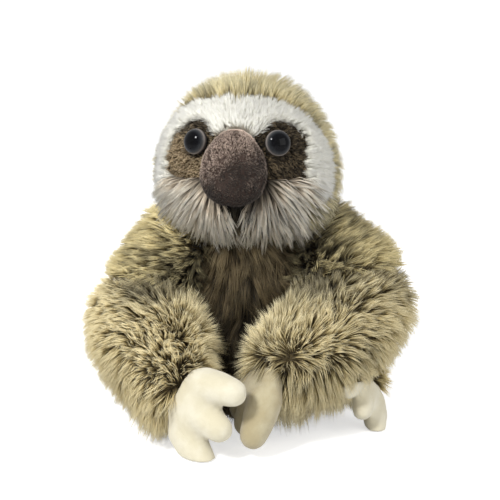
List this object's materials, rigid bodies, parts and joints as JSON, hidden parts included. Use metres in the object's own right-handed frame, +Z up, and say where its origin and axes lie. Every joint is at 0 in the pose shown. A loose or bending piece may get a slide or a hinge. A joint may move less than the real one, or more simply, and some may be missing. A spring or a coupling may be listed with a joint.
{
  "type": "plush sloth",
  "caption": "Soft sloth toy that sits upright with folded long-furred arms, pale clawed paws, a white face band, dark eye patches and a big brown muzzle.",
  "frame": {"origin": "middle of the box's base, on the surface that the toy sits on", "axes": "+Z up, the toy faces -Y, and its own left side is at +X"},
  "size_m": [0.2254, 0.1784, 0.241],
  "materials": {
    "tan_fur": "long frosted olive-tan plush fur",
    "dark_fur": "long dark brown plush fur",
    "frosted_fur": "long brown plush fur with pale grey tips",
    "white_plush": "dense cream-white short plush",
    "patch_plush": "short dark brown plush",
    "muzzle_plush": "short mauve-brown velour with airbrushed shading",
    "cream_velour": "smooth cream velour",
    "fibre_fill": "white polyester fibre",
    "pellet_cloth": "thin non-woven cloth round plastic pellets",
    "clear_plastic": "clear glossy dome over a black pupil and dark grey iris",
    "black_plastic": "black moulded plastic"
  },
  "bodies": {
    "torso": {"torso_cover": "tan_fur", "chest_panel": "dark_fur", "torso_stuffing": "fibre_fill", "pellet_bag": "pellet_cloth"},
    "head": {"head_cover": "tan_fur", "head_stuffing": "fibre_fill", "muzzle": "muzzle_plush", "chin_panel": "frosted_fur", "brow_left": "white_plush", "eye_patch_left": "patch_plush", "cheek_left": "frosted_fur", "eye_shank_left": "black_plastic", "eye_dome_left": "clear_plastic", "eye_washer_left": "black_plastic", "brow_right": "white_plush", "eye_patch_right": "patch_plush", "cheek_right": "frosted_fur", "eye_shank_right": "black_plastic", "eye_dome_right": "clear_plastic", "eye_washer_right": "black_plastic"},
    "upper_arm_left": {"upper_arm_left": "tan_fur"},
    "forearm_left": {"forearm_left": "tan_fur"},
    "hand_left": {"hand_left": "cream_velour"},
    "leg_left": {"leg_left": "tan_fur", "foot_left": "cream_velour"},
    "upper_arm_right": {"upper_arm_right": "tan_fur"},
    "forearm_right": {"forearm_right": "tan_fur"},
    "hand_right": {"hand_right": "cream_velour"},
    "leg_right": {"leg_right": "tan_fur", "foot_right": "cream_velour"}
  },
  "joints": [
    {"name": "neck_turn", "type": "hinge", "parent": "torso", "child": "head", "pos_m": [0.00049, 0.04419, 0.139], "axis": [0, 0, 1], "range_deg": [-30, 30]},
    {"name": "shoulder_open_left", "type": "hinge", "parent": "torso", "child": "upper_arm_left", "pos_m": [0.05269, 0.04019, 0.1209], "axis": [-0.3597, 0.3473, 0.866], "range_deg": [0, 20]},
    {"name": "elbow_open_left", "type": "hinge", "parent": "upper_arm_left", "child": "forearm_left", "pos_m": [0.07754, 0.02343, 0.07964], "axis": [-0.3597, 0.3473, 0.866], "range_deg": [0, 16]},
    {"name": "wrist_bend_left", "type": "hinge", "parent": "forearm_left", "child": "hand_left", "pos_m": [0.01513, -0.0412, 0.05303], "axis": [-0.7193, 0.6947, 0], "range_deg": [-15, 0]},
    {"name": "hip_spread_left", "type": "hinge", "parent": "torso", "child": "leg_left", "pos_m": [0.03129, 0.02394, 0.019], "axis": [0, 0, 1], "range_deg": [0, 12]},
    {"name": "shoulder_open_right", "type": "hinge", "parent": "torso", "child": "upper_arm_right", "pos_m": [-0.05171, 0.04019, 0.1209], "axis": [-0.4619, -0.1913, -0.866], "range_deg": [0, 20]},
    {"name": "elbow_open_right", "type": "hinge", "parent": "upper_arm_right", "child": "forearm_right", "pos_m": [-0.07807, 0.02241, 0.07002], "axis": [-0.4619, -0.1913, -0.866], "range_deg": [0, 16]},
    {"name": "wrist_bend_right", "type": "hinge", "parent": "forearm_right", "child": "hand_right", "pos_m": [-0.04814, -0.04985, 0.03778], "axis": [-0.9239, -0.3827, 0], "range_deg": [0, 15]},
    {"name": "hip_spread_right", "type": "hinge", "parent": "torso", "child": "leg_right", "pos_m": [-0.03031, 0.02394, 0.019], "axis": [0, 0, -1], "range_deg": [0, 12]}
  ]
}
